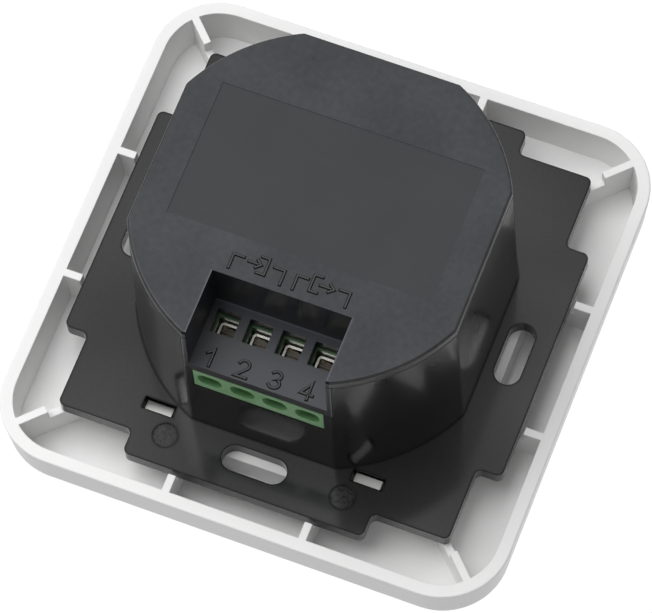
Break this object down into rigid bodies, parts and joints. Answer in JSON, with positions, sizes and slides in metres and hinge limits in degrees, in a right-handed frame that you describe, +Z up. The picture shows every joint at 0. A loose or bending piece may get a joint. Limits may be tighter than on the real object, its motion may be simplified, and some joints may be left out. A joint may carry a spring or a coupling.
{
  "type": "in-wall switch",
  "caption": "Flush-mount wall switch with a square white frame and push rocker, and a flatted black housing with a rear terminal notch for a round wall box.",
  "frame": {"origin": "centre of the four screw slots, in the plane of the support plate's back face, which is the plane of the wall", "axes": "+Y runs into the wall and the front faces -Y; +Z is up, on the side of the wire terminals; +X is to the right seen from the front"},
  "size_m": [0.0806, 0.041, 0.0806],
  "materials": {
    "plate_black": "moulded, half gloss, soft mould marks",
    "cover_black": "fine spark-eroded texture, satin, with a smooth field",
    "terminal_green": "glass-filled polyamide, half gloss",
    "clamp_steel": "plated steel cage, bright pressed edges",
    "terminal_screw_steel": "plated steel, turned",
    "contact_brass": "tinned brass",
    "frame_white": "pure white, half gloss",
    "carrier_white": "white, satin",
    "rocker_white": "pure white, half gloss",
    "switch_body_black": "black, satin",
    "plunger_white": "white, satin",
    "board_laminate": "green solder mask over glass laminate",
    "header_black": "black strip with tinned pins",
    "small_screw_steel": "zinc-plated steel",
    "relay_case": "dark blue moulded case",
    "ferrite": "ground ferrite, dark grey",
    "winding_tape": "yellow polyester tape over the winding",
    "capacitor_sleeve": "shrink sleeve with a bare aluminium end",
    "film_capacitor_case": "yellow moulded case",
    "varistor_coating": "blue epoxy coating",
    "fuse_case": "brown moulded case",
    "choke_sleeve": "ferrite drum in black sleeve",
    "shield_can": "tinned steel can on a small board",
    "chip_epoxy": "black epoxy"
  },
  "bodies": {
    "housing": {"support_plate": "plate_black", "rear_cover": "cover_black", "terminal_block": "terminal_green", "terminal_contacts": "contact_brass", "frame_cover": "frame_white", "rocker_carrier": "carrier_white", "tact_switch": "switch_body_black", "control_board": "board_laminate", "power_board": "board_laminate", "board_header": "header_black", "power_board_screws": "small_screw_steel", "control_board_screws": "small_screw_steel", "relay": "relay_case", "transformer_core": "ferrite", "transformer_bobbin": "winding_tape", "bulk_capacitor": "capacitor_sleeve", "output_capacitor": "capacitor_sleeve", "film_capacitor": "film_capacitor_case", "varistor": "varistor_coating", "fuse": "fuse_case", "choke": "choke_sleeve", "radio_module": "shield_can", "processor_chip": "chip_epoxy"},
    "rocker": {"rocker": "rocker_white"},
    "plunger": {"tact_plunger": "plunger_white"},
    "screw_1": {"terminal_screw_1": "terminal_screw_steel"},
    "clamp_1": {"terminal_clamp_1": "clamp_steel"},
    "screw_2": {"terminal_screw_2": "terminal_screw_steel"},
    "clamp_2": {"terminal_clamp_2": "clamp_steel"},
    "screw_3": {"terminal_screw_3": "terminal_screw_steel"},
    "clamp_3": {"terminal_clamp_3": "clamp_steel"},
    "screw_4": {"terminal_screw_4": "terminal_screw_steel"},
    "clamp_4": {"terminal_clamp_4": "clamp_steel"}
  },
  "joints": [
    {"name": "rocker_tilt", "type": "hinge", "parent": "housing", "child": "rocker", "pos_m": [0, -0.0052, 0.0234], "axis": [1, 0, 0], "range_deg": [0, 0.8], "stiffness_Nm_per_rad": 1, "springref_deg": -5.73},
    {"name": "plunger_press", "type": "slide", "parent": "housing", "child": "plunger", "axis": [0, 1, 0], "range_m": [0, 0.00035]},
    {"name": "screw_1_turn", "type": "hinge", "parent": "housing", "child": "screw_1", "pos_m": [-0.00772, 0.0159, 0.0184], "axis": [0, -1, 0], "range_deg": [0, 1300]},
    {"name": "clamp_1_lift", "type": "slide", "parent": "housing", "child": "clamp_1", "axis": [0, 1, 0], "range_m": [0, 0.00158]},
    {"name": "screw_2_turn", "type": "hinge", "parent": "housing", "child": "screw_2", "pos_m": [-0.00264, 0.0159, 0.0184], "axis": [0, -1, 0], "range_deg": [0, 1300]},
    {"name": "clamp_2_lift", "type": "slide", "parent": "housing", "child": "clamp_2", "axis": [0, 1, 0], "range_m": [0, 0.00158]},
    {"name": "screw_3_turn", "type": "hinge", "parent": "housing", "child": "screw_3", "pos_m": [0.00244, 0.0159, 0.0184], "axis": [0, -1, 0], "range_deg": [0, 1300]},
    {"name": "clamp_3_lift", "type": "slide", "parent": "housing", "child": "clamp_3", "axis": [0, 1, 0], "range_m": [0, 0.00158]},
    {"name": "screw_4_turn", "type": "hinge", "parent": "housing", "child": "screw_4", "pos_m": [0.00752, 0.0159, 0.0184], "axis": [0, -1, 0], "range_deg": [0, 1300]},
    {"name": "clamp_4_lift", "type": "slide", "parent": "housing", "child": "clamp_4", "axis": [0, 1, 0], "range_m": [0, 0.00158]}
  ],
  "couplings": [
    {"joint": "plunger_press", "follows": "rocker_tilt", "m_per_rad": 0.0234},
    {"joint": "screw_1_turn", "follows": "clamp_1_lift", "rad_per_m": 13963},
    {"joint": "screw_2_turn", "follows": "clamp_2_lift", "rad_per_m": 13963},
    {"joint": "screw_3_turn", "follows": "clamp_3_lift", "rad_per_m": 13963},
    {"joint": "screw_4_turn", "follows": "clamp_4_lift", "rad_per_m": 13963}
  ]
}
